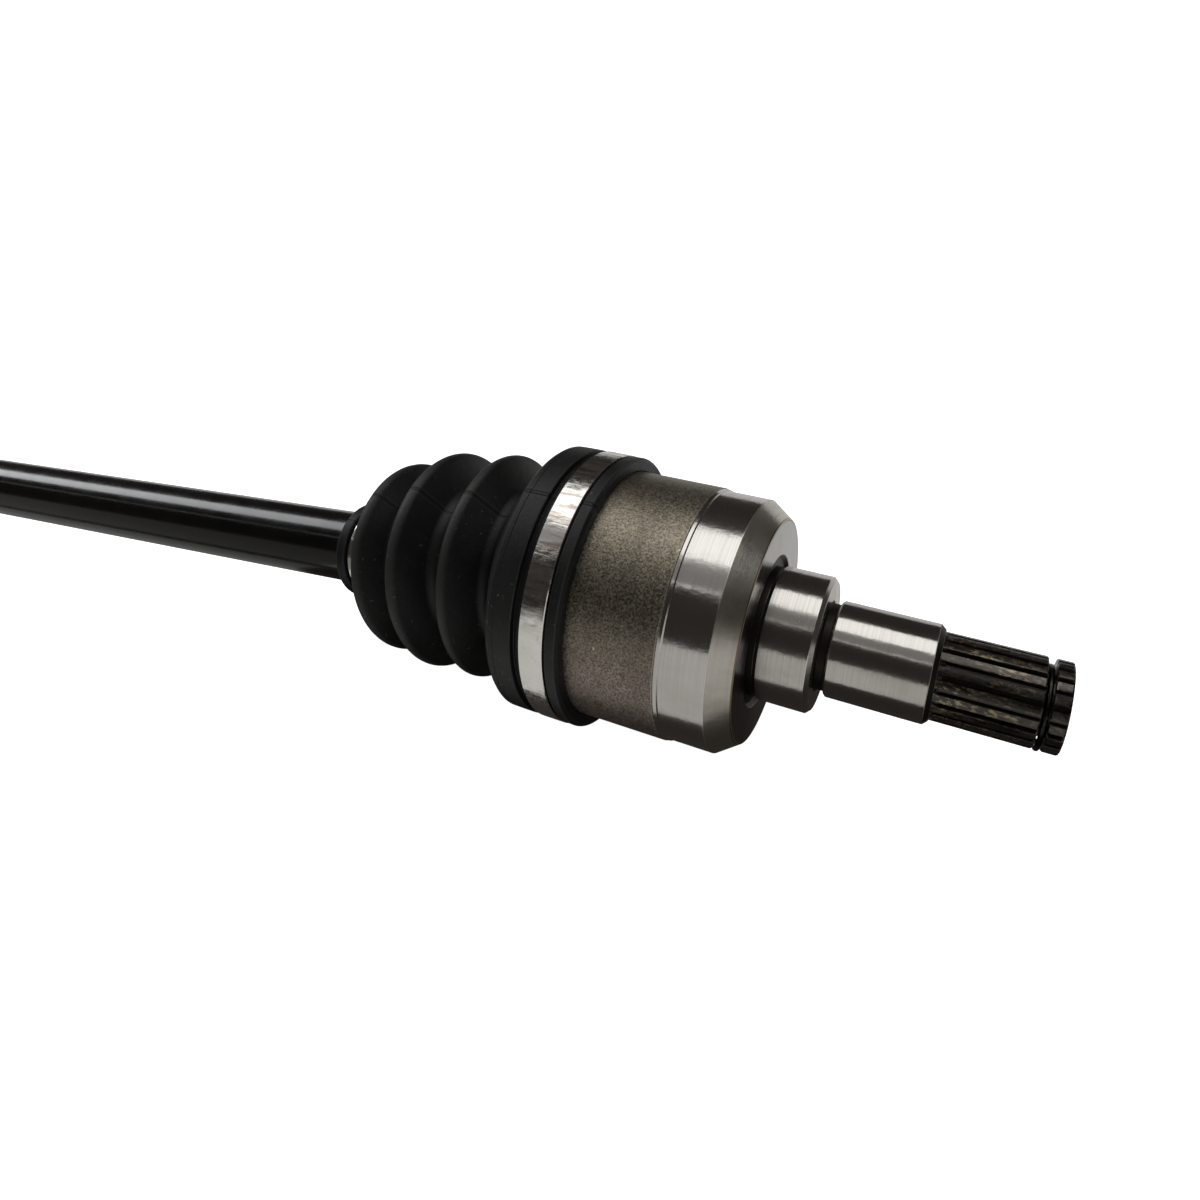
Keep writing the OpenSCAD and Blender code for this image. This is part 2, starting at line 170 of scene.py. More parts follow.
def turned(name, rows, looks, place, body, closed=False, bend=None, sides=SIDES):
    """A piece turned about its own X axis from rows, with exact normals.

    bend(h) gives a turn of the whole piece, a lean of the ring about its own centre, and the rate of each.
    """
    angles = np.linspace(0, 2 * math.pi, sides, endpoint=False)
    ca, sa = np.cos(angles), np.sin(angles)
    verts, own, worn, rings, normals = [], [], [], [], []
    for i, (h, r, nh, nr, wear, look) in enumerate(rows):
        turn, lean, rate, lean_rate = bend(h) if bend else (0.0, 0.0, 0.0, 0.0)
        ct, st = math.cos(turn), math.sin(turn)
        cl, sl = math.cos(lean), math.sin(lean)
        at = np.stack([np.full(sides, h), r * ca, r * sa], 1)
        ring = np.stack([h + r * sa * sl, r * ca, r * sa * cl], 1)
        dh, dr = nr, -nh
        swing = lean_rate * dh * r
        along = np.stack([dh + sa * (dr * sl + swing * cl) + rate * dh * ring[:, 2], dr * ca,
                          sa * (dr * cl - swing * sl) - rate * dh * ring[:, 0]], 1)
        across = np.stack([ca * sl, -sa, ca * cl], 1)
        facing = np.cross(across, along)
        facing /= np.linalg.norm(facing, axis=1)[:, None]
        lift = np.array([[ct, 0, st], [0, 1, 0], [-st, 0, ct]])
        normals.append(facing @ lift.T)
        same = i and math.hypot(h - rows[i - 1][0], r - rows[i - 1][1]) < 1e-6
        if same:
            rings.append(rings[-1])
            continue
        if closed and i == len(rows) - 1 and math.hypot(h - rows[0][0], r - rows[0][1]) < 1e-6:
            rings.append(rings[0])
            continue
        count = 1 if r < 1e-6 else sides
        rings.append((sum(len(v) for v in verts), count))
        verts.append((ring @ lift.T)[:count])
        own.append(at[:count])
        worn.append(np.full(count, wear))
    faces, face_looks, loop_normals = [], [], []
    pairs = [(i, i + 1) for i in range(len(rows) - 1)]
    if closed:
        pairs.append((len(rows) - 1, 0))
    for i, k in pairs:
        (a, na), (b, nb) = rings[i], rings[k]
        if a == b:
            continue
        for j in range(sides):
            j2 = (j + 1) % sides
            if na == 1:
                faces.append((a, b + j2, b + j))
                loop_normals += [normals[i][j], normals[k][j2], normals[k][j]]
            elif nb == 1:
                faces.append((a + j, a + j2, b))
                loop_normals += [normals[i][j], normals[i][j2], normals[k][j]]
            else:
                faces.append((a + j, a + j2, b + j2, b + j))
                loop_normals += [normals[i][j], normals[i][j2], normals[k][j2], normals[k][j]]
            face_looks.append(int(rows[i][5]))
    verts = np.concatenate(verts) * MM
    piece = new_piece(name, verts, faces, face_looks, looks, place, body)
    add_attributes(piece.data, np.concatenate(own) * MM, np.concatenate(worn))
    tilt = np.array(place.to_3x3())
    piece.data.normals_split_custom_set([tuple(n) for n in np.array(loop_normals) @ tilt.T])
    return piece


def grid(name, h_rows, r_rows, wear, looks, place, body, closed=False, sharp=35):
    """A piece whose radius also changes round the axis. Rows of h and r, one value for each angle."""
    count = max(np.size(r) for r in r_rows)
    angles = np.linspace(0, 2 * math.pi, count, endpoint=False)
    verts, worn, rings = [], [], []
    for h, r, w in zip(h_rows, r_rows, wear):
        h, r, w = (np.broadcast_to(np.asarray(x, float), (count,)) for x in (h, r, w))
        n = 1 if r.max() < 1e-6 else count
        rings.append((sum(len(v) for v in verts), n))
        verts.append(np.stack([h, r * np.cos(angles), r * np.sin(angles)], 1)[:n])
        worn.append(w[:n])
    faces = []
    pairs = [(i, i + 1) for i in range(len(rings) - 1)]
    if closed:
        pairs.append((len(rings) - 1, 0))
    for i, k in pairs:
        (a, na), (b, nb) = rings[i], rings[k]
        for j in range(count):
            j2 = (j + 1) % count
            if na == 1:
                faces.append((a, b + j2, b + j))
            elif nb == 1:
                faces.append((a + j, a + j2, b))
            else:
                faces.append((a + j, a + j2, b + j2, b + j))
    verts = np.concatenate(verts) * MM
    piece = new_piece(name, verts, faces, [0] * len(faces), looks, place, body)
    add_attributes(piece.data, verts, np.concatenate(worn))
    piece.data.set_sharp_from_angle(angle=math.radians(sharp))
    return piece


# ---------------------------------------------------------------- materials

class Look:
    """One procedural material, built node by node."""

    def __init__(self, name, **sockets):
        self.material = bpy.data.materials.new(name)
        self.material.use_nodes = True
        self.tree = self.material.node_tree
        self.shader = self.tree.nodes["Principled BSDF"]
        for key, value in sockets.items():
            self.shader.inputs[key.replace("_", " ")].default_value = value

    def put(self, kind, inputs, output=0, **settings):
        node = self.tree.nodes.new("ShaderNode" + kind)
        for key, value in settings.items():
            setattr(node, key, value)
        for key, value in inputs.items():
            self.feed(node.inputs[key], value)
        return node.outputs[output]

    def feed(self, socket, value):
        if isinstance(value, bpy.types.NodeSocket):
            self.tree.links.new(value, socket)
        else:
            socket.default_value = value

    def set(self, **links):
        for key, value in links.items():
            self.feed(self.shader.inputs[key.replace("_", " ")], value)

    def own(self):
        """The place on the piece, in metres along its own axes."""
        return self.put("Attribute", {}, "Vector", attribute_name="own")

    def worn(self):
        return self.put("Attribute", {}, "Fac", attribute_name="worn")

    def part(self, vector, axis):
        return self.put("SeparateXYZ", {"Vector": vector}, axis)

    def scaled(self, vector, scale):
        return self.put("VectorMath", {0: vector, 1: scale}, operation="MULTIPLY")

    def noise(self, vector, scale, detail=3.0, roughness=0.55):
        return self.put("TexNoise", {"Vector": vector, "Scale": scale, "Detail": detail,
                                     "Roughness": roughness}, "Fac")

    def math(self, operation, a, b=0.0):
        return self.put("Math", {0: a, 1: b}, operation=operation)

    def span(self, value, low, high, to_low=0.0, to_high=1.0):
        """value's range from low to high, carried to another range, smooth at both ends."""
        return self.put("MapRange", {"Value": value, "From Min": low, "From Max": high,
                                     "To Min": to_low, "To Max": to_high}, interpolation_type="SMOOTHSTEP")

    def mix(self, share, a, b):
        return self.put("Mix", {0: share, 6: rgba(a), 7: rgba(b)}, 2, data_type="RGBA")

    def along(self, axis):
        """The turned piece's axis, as the direction that its fine rings spread a highlight along."""
        return self.put("VectorTransform", {"Vector": tuple(axis)}, vector_type="VECTOR",
                        convert_from="OBJECT", convert_to="WORLD")

    def bump(self, height, strength, distance, normal=None):
        inputs = {"Height": height, "Strength": strength, "Distance": distance}
        if normal is not None:
            inputs["Normal"] = normal
        return self.put("Bump", inputs, "Normal")


def rgba(colour):
    return colour if isinstance(colour, bpy.types.NodeSocket) else (*colour, 1.0)


def machined(name, colour, stain, rough, ring_scale, shine=0.6, stains=0.35, ring_depth=0.00002,
             axis=(1, 0, 0), film=0.0):
    """Turned or ground steel: fine rings round the axis, oil in patches, worn edges, and a painted shade, as
    strong as film, over the half towards -Y.
    """
    look = Look(name, Metallic=1.0, Anisotropic=shine)
    own = look.own()
    rings = look.noise(look.scaled(own, (ring_scale, 25.0, 25.0)), 1.0, 4.0, 0.65)
    patches = look.noise(look.scaled(own, (30.0, 70.0, 70.0)), 1.0, 4.0, 0.6)
    fine = look.noise(own, 900.0, 3.0, 0.7)
    wave = look.noise(look.scaled(own, (140.0, 170.0, 170.0)), 1.0, 3.0, 0.6)
    dirt = look.span(patches, 0.45, 0.75, 0.0, stains)
    tone = look.mix(look.span(rings, 0.3, 0.7, 0.0, 0.28), colour, stain)
    tone = look.mix(dirt, tone, stain)
    # Painted shade: film darkens the half of the piece towards -Y, with a wavy edge from the patches.
    side = look.math("ADD", look.part(own, "Y"), look.math("MULTIPLY", patches, 0.008))
    tone = look.mix(look.span(side, -0.018, 0.0, film, 0.0), tone, tuple(c * 0.12 for c in stain))
    specks = look.span(fine, 0.68, 0.8, 0.0, 0.35)
    tone = look.mix(specks, tone, tuple(c * 0.3 for c in stain))
    tone = look.mix(look.span(look.worn(), 0.1, 1.0, 0.0, 0.7), tone, (0.78, 0.76, 0.73))
    roughness = look.math("ADD", look.span(patches, 0.3, 0.8, rough * 0.85, rough * 1.35),
                          look.span(rings, 0.3, 0.7, -0.02, 0.03))
    look.set(Base_Color=tone, Roughness=roughness, Tangent=look.along(axis),
             Normal=look.bump(rings, 0.35, ring_depth,
                              look.bump(fine, 0.15, 0.00002, look.bump(wave, 0.25, 0.0003))))
    return look.material


def forged(name, dark, light, rough):
    """Blasted forging scale: grains half a millimetre across, dark smudges and a few bright nicks."""
    look = Look(name, Metallic=0.9)
    own = look.own()
    grain = look.noise(own, 1700.0, 3.0, 0.7)
    clump = look.noise(own, 620.0, 3.0, 0.6)
    smudge = look.noise(look.scaled(own, (60.0, 26.0, 26.0)), 1.0, 4.0, 0.6)
    tint = look.mix(look.span(look.part(own, "Z"), -0.012, 0.03), (1.03, 0.93, 0.93), (1.04, 1.0, 0.88))
    tone = look.mix(look.span(grain, 0.36, 0.64), dark, light)
    tone = look.mix(look.span(clump, 0.45, 0.7, 0.0, 0.35), tone, tuple(c * 0.5 for c in dark))
    tone = look.mix(look.span(smudge, 0.42, 0.68, 0.0, 0.3), tone, tuple(c * 0.7 for c in dark))
    nicks = look.span(look.noise(own, 520.0, 1.0, 0.4), 0.76, 0.8, 0.0, 0.8)
    tone = look.mix(nicks, tone, (0.62, 0.58, 0.5))
    tone = look.put("VectorMath", {0: tone, 1: tint}, operation="MULTIPLY")
    tone = look.mix(look.span(look.worn(), 0.2, 1.0, 0.0, 0.75), tone, (0.6, 0.57, 0.52))
    look.set(Base_Color=tone, Roughness=look.span(grain, 0.3, 0.7, rough * 0.8, rough * 1.25),
             Normal=look.bump(grain, 0.7, 0.00012, look.bump(clump, 0.35, 0.0002)))
    return look.material


def rubber_look():
    look = Look("boot_rubber", Specular_IOR_Level=0.34)
    own = look.own()
    film = look.noise(look.scaled(own, (60.0, 45.0, 45.0)), 1.0, 4.0, 0.6)
    grain = look.noise(own, 1600.0, 3.0, 0.7)
    specks = look.noise(own, 620.0, 2.0, 0.6)
    dust = look.math("MULTIPLY", look.span(specks, 0.66, 0.73, 0.0, 0.5), look.span(film, 0.42, 0.56))
    tone = look.mix(look.span(film, 0.35, 0.7), (0.0042, 0.0045, 0.0046), (0.0088, 0.0093, 0.0095))
    tone = look.mix(look.span(look.worn(), 0.35, 1.0, 0.0, 0.75), tone, (0.034, 0.035, 0.035))
    tone = look.mix(dust, tone, (0.16, 0.155, 0.145))
    angle = look.math("ARCTAN2", look.part(own, "Z"), look.part(own, "Y"))
    away = look.math("ABSOLUTE", look.math("SUBTRACT", angle, math.radians(107)))
    seam = look.span(away, 0.008, 0.019, 1.0, 0.0)
    tone = look.mix(look.span(away, 0.02, 0.055, 0.35, 0.0), tone, (0.03, 0.031, 0.03))
    tone = look.mix(seam, tone, (0.0008, 0.0008, 0.0008))
    height = look.math("SUBTRACT", look.math("MULTIPLY", grain, 0.6), seam)
    look.set(Base_Color=tone, Roughness=look.span(film, 0.3, 0.75, 0.42, 0.56),
             Normal=look.bump(height, 0.8, 0.00025))
    return look.material


def paint_look():
    look = Look("bar_paint", Coat_Weight=0.35, Coat_Roughness=0.12, Specular_IOR_Level=0.5)
    own = look.own()
    peel = look.noise(look.scaled(own, (90.0, 160.0, 160.0)), 1.0, 3.0, 0.5)
    fine = look.noise(own, 1400.0, 3.0, 0.6)
    wide = look.noise(look.scaled(own, (14.0, 40.0, 40.0)), 1.0, 3.0, 0.5)
    tone = look.mix(look.span(wide, 0.3, 0.7), (0.0004, 0.0004, 0.0006), (0.0009, 0.0009, 0.0012))
    tone = look.mix(look.span(fine, 0.72, 0.8, 0.0, 0.4), tone, (0.07, 0.07, 0.072))
    look.set(Base_Color=tone, Roughness=look.span(peel, 0.3, 0.7, 0.17, 0.24),
             Normal=look.bump(peel, 0.16, 0.0004, look.bump(fine, 0.08, 0.00002)))
    return look.material


def clamp_look():
    """Rolled stainless strip, bent round the boot: wavy, with small marks and brown heat streaks above."""
    look = Look("clamp_steel", Metallic=1.0, Anisotropic=0.35)
    own = look.own()
    wave = look.noise(look.scaled(own, (60.0, 95.0, 95.0)), 1.0, 3.0, 0.55)
    marks = look.noise(own, 520.0, 3.0, 0.7)
    crumple = look.noise(look.scaled(own, (40.0, 330.0, 330.0)), 1.0, 4.0, 0.65)
    upper = look.span(look.part(own, "Z"), 0.008, 0.03)
    stain = look.math("MULTIPLY", look.span(crumple, 0.46, 0.62, 0.0, 0.8), upper)
    tone = look.mix(look.span(wave, 0.35, 0.7), (0.84, 0.825, 0.795), (0.74, 0.72, 0.685))
    tone = look.mix(stain, tone, (0.3, 0.22, 0.18))
    tone = look.mix(look.span(marks, 0.62, 0.75, 0.0, 0.45), tone, (0.2, 0.18, 0.16))
    tone = look.mix(look.span(look.worn(), 0.2, 1.0, 0.0, 0.5), tone, (0.82, 0.81, 0.79))
    look.set(Base_Color=tone, Roughness=look.span(marks, 0.3, 0.75, 0.13, 0.27),
             Tangent=look.along((1, 0, 0)), Normal=look.bump(wave, 0.4, 0.0009,
                                                             look.bump(crumple, 0.22, 0.0003)))
    return look.material


def spline_look(name, dark, gold, shade):
    """Oiled spline: dark flanks, and tooth tips with dull brass and grey glints."""
    look = Look(name, Metallic=0.85, Coat_Weight=0.5, Coat_Roughness=0.18)
    own = look.own()
    streak = look.noise(look.scaled(own, (160.0, 700.0, 700.0)), 1.0, 4.0, 0.7)
    patch = look.noise(look.scaled(own, (70.0, 150.0, 150.0)), 1.0, 3.0, 0.6)
    tip = look.math("MULTIPLY", look.span(look.worn(), 0.55, 1.0),
                    look.span(look.part(own, "X"), 0.112, 0.12, 1.0, 0.25))
    spots = look.noise(look.scaled(own, (500.0, 1100.0, 1100.0)), 1.0, 3.0, 0.7)
    worn_through = look.math("MULTIPLY", tip, look.span(patch, 0.36, 0.56))
    glint = look.math("MULTIPLY", look.span(spots, 0.48, 0.64), worn_through)
    tone = look.mix(look.span(streak, 0.3, 0.7), dark, shade)
    tone = look.mix(look.math("MULTIPLY", glint, 0.8), tone, gold)
    look.set(Base_Color=tone, Roughness=look.span(streak, 0.3, 0.75, 0.22, 0.42),
             Normal=look.bump(streak, 0.5, 0.00012))
    return look.material


def inner_metal(name, light, dark, rough, scale):
    """A steel piece kept from the CAD model: fine grain and a patchy film, placed by its own coordinates."""
    look = Look(name, Metallic=1.0)
    place = look.put("TexCoord", {}, "Object")
    film = look.noise(place, scale, 4.0, 0.6)
    grain = look.noise(place, scale * 14, 3.0, 0.6)
    tone = look.mix(look.span(film, 0.35, 0.7), light, dark)
    look.set(Base_Color=tone, Roughness=look.span(film, 0.3, 0.75, rough * 0.8, rough * 1.3),
             Normal=look.bump(grain, 0.2, 0.00004))
    return look.material


STEEL = (0.56, 0.545, 0.52)
BROWN = (0.3, 0.25, 0.2)
skin = forged("housing_skin", (0.115, 0.104, 0.091), (0.38, 0.352, 0.31), 0.38)
band = machined("housing_band", (0.6, 0.585, 0.565), (0.42, 0.37, 0.33), 0.2, 1800.0, 0.7, 0.3,
                axis=housing_axis)
bevel = machined("housing_chamfer", (0.58, 0.56, 0.515), (0.37, 0.32, 0.25), 0.3, 2600.0, 0.5, 0.5,
                 axis=housing_axis)
edge_stain = machined("edge_stain", (0.27, 0.19, 0.12), (0.17, 0.11, 0.065), 0.34, 2600.0, 0.3, 0.6,
                      axis=housing_axis)
# Painted shade: film=0.85 darkens the half of the face towards -Y.
face = machined("housing_face", (0.4, 0.395, 0.38), (0.26, 0.235, 0.2), 0.2, 900.0, 0.2, 0.35, film=0.85)
seal = machined("seal_journal", STEEL, (0.36, 0.31, 0.27), 0.2, 3600.0, 0.6, 0.4, axis=housing_axis)
pilot = machined("pilot_journal", STEEL, (0.38, 0.33, 0.29), 0.18, 4200.0, 0.65, 0.35, axis=housing_axis)
# Painted shade: the undercuts and relief grooves are oiled steel, painted near black for the shade that falls
# in them.
shaded_relief = machined("relief_groove_shaded", (0.04, 0.036, 0.031), (0.022, 0.019, 0.016), 0.5, 2600.0, 0.2, 0.5)
bore = machined("bore_steel", (0.42, 0.41, 0.4), BROWN, 0.3, 2200.0, 0.4, 0.4)
bell_skin = forged("bell_skin", (0.13, 0.125, 0.12), (0.3, 0.295, 0.285), 0.42)
bell_turned = machined("bell_turned", (0.5, 0.49, 0.475), (0.34, 0.31, 0.28), 0.24, 3000.0, 0.55, 0.35)
seat_steel = machined("seat_steel", (0.45, 0.44, 0.43), BROWN, 0.3, 2600.0, 0.4, 0.4)
rubber, paint, clamp = rubber_look(), paint_look(), clamp_look()
stub_oil = spline_look("stub_spline", (0.022, 0.019, 0.016), (0.42, 0.34, 0.21), (0.075, 0.066, 0.055))
wheel_oil = spline_look("wheel_spline", (0.1, 0.098, 0.095), (0.4, 0.39, 0.37), (0.2, 0.195, 0.19))
wire = inner_metal("spring_wire", (0.016, 0.0155, 0.015), (0.045, 0.043, 0.04), 0.24, 160.0)
race_steel = inner_metal("race_steel", (0.5, 0.49, 0.48), (0.36, 0.34, 0.32), 0.28, 90.0)
cage_steel = inner_metal("cage_steel", (0.16, 0.16, 0.165), (0.09, 0.09, 0.095), 0.42, 110.0)
ball_steel = inner_metal("ball_steel", (0.68, 0.675, 0.67), (0.56, 0.55, 0.54), 0.12, 120.0)

for node, obj in frame["nodes"].items():
    if "_race_circlip" in node or "_ring" in node or "_stub_circlip" in node:
        choice = wire
    elif "_race" in node:
        choice = race_steel
    elif "_cage" in node:
        choice = cage_steel
    elif "_ball_" in node:
        choice = ball_steel
    else:
        continue
    if not obj.material_slots:
        obj.data.materials.append(choice)
    for material_slot in obj.material_slots:
        material_slot.material = choice


# ---------------------------------------------------------------- bar

BAR_R = 13.0


def bar_end(side):
    """The neck, race seat, clip groove and nose beyond the painted length, towards +X or -X."""
    j = HALF_SPAN
    corners = [[j - 16, BAR_R, 0.6, 1], [j - 14, 11.6, 0.6, 1], [j - 11.5, 11.6, 0.2, 1],
               [j - 11, 12, 0.1, 1], [j + 11.3, 12, 0, 1], [j + 11.3, 10.6, 0, 1], [j + 13.3, 10.6, 0, 1],
               [j + 13.3, 11.7, 0, 1], [j + 14.5, 11.7, 0.3, 1], [j + 15.5, 10.7, 0.3, 1],
               [j + 15.5, 0, 0, 1]]
    if side > 0:
        return corners
    return [[-h, r, fillet, look] for h, r, fillet, look in reversed(corners)]


left_end, right_end = bar_end(-1), bar_end(1)
left_end[-1][3] = 0
bar_corners = left_end + right_end
bar = turned("bar", rounded(bar_corners), [paint, seat_steel], AT_BAR, "shaft")
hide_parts("shaft_bar")

# ---------------------------------------------------------------- gearbox housing

# The SHADED_RELIEF rows are the undercuts and relief grooves, painted near black for their shade.
INSIDE, SKIN, BAND, BEVEL, FACE, SEAL, SHADED_RELIEF, PILOT, STAIN = range(9)
LINER_R = 33.2
housing_corners = [
    [35, 0, 0, INSIDE], [35, 21, 0.5, INSIDE], [31, LINER_R, 0.5, INSIDE], [-22.5, LINER_R, 0, SKIN],
    [-22.5, 39, 0.8, SKIN], [26.5, 39, 0.3, SKIN], [26.9, 38.72, 0.15, BAND], [27.8, 38.68, 0.12, BAND],
    [28.15, 38.3, 0.15, BAND], [41.1, 38.3, 0.45, BEVEL], [47.1, 33.99, 0, STAIN], [47.5, 33.7, 0.35, STAIN],
    [47.5, 33.2, 0, FACE], [47.5, 23, 0.25, SHADED_RELIEF],
    [46.3, 22, 0.3, SHADED_RELIEF], [46.3, 19.4, 0.35, SHADED_RELIEF], [48.7, 19.4, 0.4, SEAL], [49.7, 20, 0.3, SEAL],
    [63.2, 20, 0.4, SEAL], [64.4, 18.8, 0.3, SEAL], [64.4, 12.6, 0.7, SHADED_RELIEF], [67.1, 12.6, 0.5, SHADED_RELIEF],
    [67.1, 13.4, 0.2, PILOT], [67.7, 14, 0.2, PILOT], [93.9, 14, 0.3, SHADED_RELIEF], [95.3, 12.7, 0.25, SHADED_RELIEF],
    [95.3, 0, 0, SHADED_RELIEF]]
housing = turned("gearbox_housing", rounded(housing_corners),
                 [bore, skin, band, bevel, face, seal, shaded_relief, pilot, edge_stain], AT_HOUSING,
                 "inner_housing_set", sides=256)
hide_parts("inner_housing")

BALLS = 6
PITCH_R = 25.0


def ball_angles(count):
    """Angle from the nearest ball track, for each angle round the axis."""
    angles = np.linspace(0, 2 * math.pi, count, endpoint=False)
    step = 2 * math.pi / BALLS
    return (angles + step / 2) % step - step / 2


def track_reach(track_r, off):
    """How far out a track of that radius reaches, at angles off its own plane."""
    spare = np.maximum(track_r ** 2 - (PITCH_R * np.sin(off)) ** 2, 0)
    return np.where(spare > 0, PITCH_R * np.cos(off) + np.sqrt(spare), 0)


# Straight ball tracks, as a liner inside the barrel
around = ball_angles(288)
bore_r = np.maximum(29.0, track_reach(7.95, around))
h_rows = [30.5, -22.5, -22.5, 30.5]
r_rows = [bore_r, bore_r, np.full(288, LINER_R - 0.02), np.full(288, LINER_R - 0.02)]
grid("housing_tracks", h_rows, r_rows, [0] * 4, [bore], AT_HOUSING, "inner_housing_set",
     closed=True)


def tooth_heights(teeth, samples, root_share, tip_share):
    """0 at the root and 1 at the tip of a tooth, with rounded corners, for each angle round the axis."""
    count = teeth * samples
    phase = (np.arange(count) / samples + 0.5) % 1 - 0.5
    share = np.clip((root_share - np.abs(phase)) / (root_share - tip_share), 0, 1)
    return share * share * (3 - 2 * share) * 0.35 + share * 0.65


def spline(name, start, end, outer_r, root_r, teeth, envelope, runout, look, place, body, samples=20):
    """Splined length: teeth cut off by the turned envelope, with roots that run out at the start."""
    heights = tooth_heights(teeth, samples, 0.41, 0.29)
    tooth_r = root_r + (outer_r - root_r) * heights
    h_list, r_list, wear = [start], [0.0], [0.0]
    for h, limit in envelope:
        run = root_r + (outer_r - root_r) * max(0.0, 1 - (h - start) / runout) ** 2
        r_list.append(np.minimum(np.maximum(tooth_r, run), limit))
        h_list.append(h)
        wear.append(heights)
    h_list.append(end)
    r_list.append(0.0)
    wear.append(0.0)
    return grid(name, h_list, r_list, wear, [look], place, body, sharp=28)


STUB_R, STUB_ROOT, STUB_END = 12.3, 10.8, 127.2
GROOVE, GROOVE_R = STUB_END - 6.3, 8.7
TOOTH_TURN = math.radians(4.3)
stub_envelope = [[h, 13.0] for h in (95.3, 95.7, 96.2, 96.9, 97.8, 99, 102, 106, 110, 115)]
stub_envelope += [[GROOVE - 0.4, 13.0], [GROOVE - 0.1, 12.1], [GROOVE, 11.7], [GROOVE, GROOVE_R],
                  [GROOVE + 2.1, GROOVE_R], [GROOVE + 2.1, 11.7], [GROOVE + 2.2, 12.1],
                  [GROOVE + 2.5, 12.35], [STUB_END - 0.6, 12.35], [STUB_END - 0.25, 12.1],
                  [STUB_END - 0.1, 11.5], [STUB_END, 10.7]]
spline("stub_spline", 95.28, STUB_END, STUB_R, STUB_ROOT, 20, stub_envelope, 2.6, stub_oil,
       AT_HOUSING @ Matrix.Rotation(TOOTH_TURN, 4, "X"), "inner_housing_set", samples=24)


def wire_ring(name, h, ring_r, wire_r, drop, place, body, node, look, around=160, ring_sides=20):
    """Round wire bent to an open ring with rounded ends, its gap facing down, hung off centre by drop."""
    gap = math.radians(10)
    verts, faces = [], []
    rows = []
    for k in range(around + 1):
        a = -math.pi / 2 + gap + (2 * math.pi - 2 * gap) * k / around
        rows.append((a, 1.0))
    tips = (0.35, 0.75, 0.95)
    lead = [(rows[0][0] - math.sqrt(1 - t * t) * wire_r / ring_r, t) for t in tips]
    tail = [(rows[-1][0] + math.sqrt(1 - t * t) * wire_r / ring_r, t) for t in reversed(tips)]
    for a, share in lead + rows + tail:
        for j in range(ring_sides):
            b = 2 * math.pi * j / ring_sides
            r = ring_r + wire_r * share * math.cos(b)
            verts.append((h + wire_r * share * math.sin(b), r * math.cos(a), r * math.sin(a) - drop))
    total = len(lead + rows + tail)
    for k in range(total - 1):
        for j in range(ring_sides):
            a, b = k * ring_sides, (k + 1) * ring_sides
            j2 = (j + 1) % ring_sides
            faces.append((a + j, a + j2, b + j2, b + j))
    faces.append(tuple(range(ring_sides - 1, -1, -1)))
    faces.append(tuple((total - 1) * ring_sides + j for j in range(ring_sides)))
    verts = np.array(verts) * MM
    piece = new_piece(name, verts, faces, [0] * len(faces), [look], place, body)
    add_attributes(piece.data, verts, np.zeros(len(verts)))
    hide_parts(node)
    return piece


wire_ring("stop_ring", GROOVE + 1.05, 10.9, 0.75, 1.35, AT_HOUSING, "inner_housing_set",
          "inner_stub_circlip", wire)

# ---------------------------------------------------------------- wheel bell

BELL_R = 40.0
dome = [[12 + 26 * math.sin(math.radians(a)), 22 + 18 * math.cos(math.radians(a)), 0.01, 1]
        for a in range(6, 61, 6)]
cavity = [[34.5 * math.cos(math.radians(a)), 34.5 * math.sin(math.radians(a)), 0.01, 0]
          for a in range(8, 89, 8)]
bell_corners = [[34.5, 0, 0, 0]] + cavity + [
    [0, 34.5, 0, 0], [-18, 34.5, 0, 1], [-18, BELL_R, 0.8, 1], [12, BELL_R, 0.01, 1]] + dome + [
    [36, 25, 0.4, 2], [40, 25, 0.4, 2], [40, 15.8, 0.2, 2], [40.8, 15, 0.2, 2], [47.2, 15, 0.3, 2],
    [48, 14.2, 0.2, 2], [48, 0, 0, 2]]
bell = turned("wheel_bell", rounded(bell_corners), [bore, bell_skin, bell_turned], AT_OUTER,
              "outer_housing_set")
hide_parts("outer_housing")

# Curved ball tracks, as a liner inside the bell
liner_h, liner_r = [28.7], [np.zeros(288)]
for degrees in range(5, 146, 5):
    slope = math.radians(degrees)
    off = np.arcsin(np.clip(math.sin(slope) * np.sin(around), -1, 1))
    reach = np.maximum(28.7, track_reach(8.6, off) * (1.0 if 25 <= degrees else 0.0))
    h = np.maximum(reach * math.cos(slope), -17.8)
    r = np.maximum(reach * math.sin(slope), np.where(h < -9, 27.2 + (-9 - h) / 9 * 5.2, 0))
    if degrees > 90 and (h <= -17.8).any():
        break
    liner_h.append(h)
    liner_r.append(r)
liner_h += [-18.0, -18.0, 0.0]
liner_r += [np.full(288, 32.4), np.full(288, 34.48), np.full(288, 34.48)]
for degrees in range(82, 7, -8):
    liner_h.append(34.48 * math.cos(math.radians(degrees)))
    liner_r.append(np.full(288, 34.48 * math.sin(math.radians(degrees))))
liner_h.append(34.48)
liner_r.append(np.zeros(288))
grid("bell_tracks", liner_h, liner_r, [0] * len(liner_h), [bore], AT_OUTER, "outer_housing_set")

wheel_envelope = [[h, 14.2] for h in (48, 48.4, 49, 49.8, 51, 55, 60, 66, 72, 78)]
wheel_envelope += [[84.4, 13.55], [85, 13.1], [85.6, 12.5], [86, 12.05]]
spline("wheel_spline", 47.98, 86, 13.5, 12.1, 28, wheel_envelope, 2.4, wheel_oil, AT_OUTER,
       "outer_housing_set")

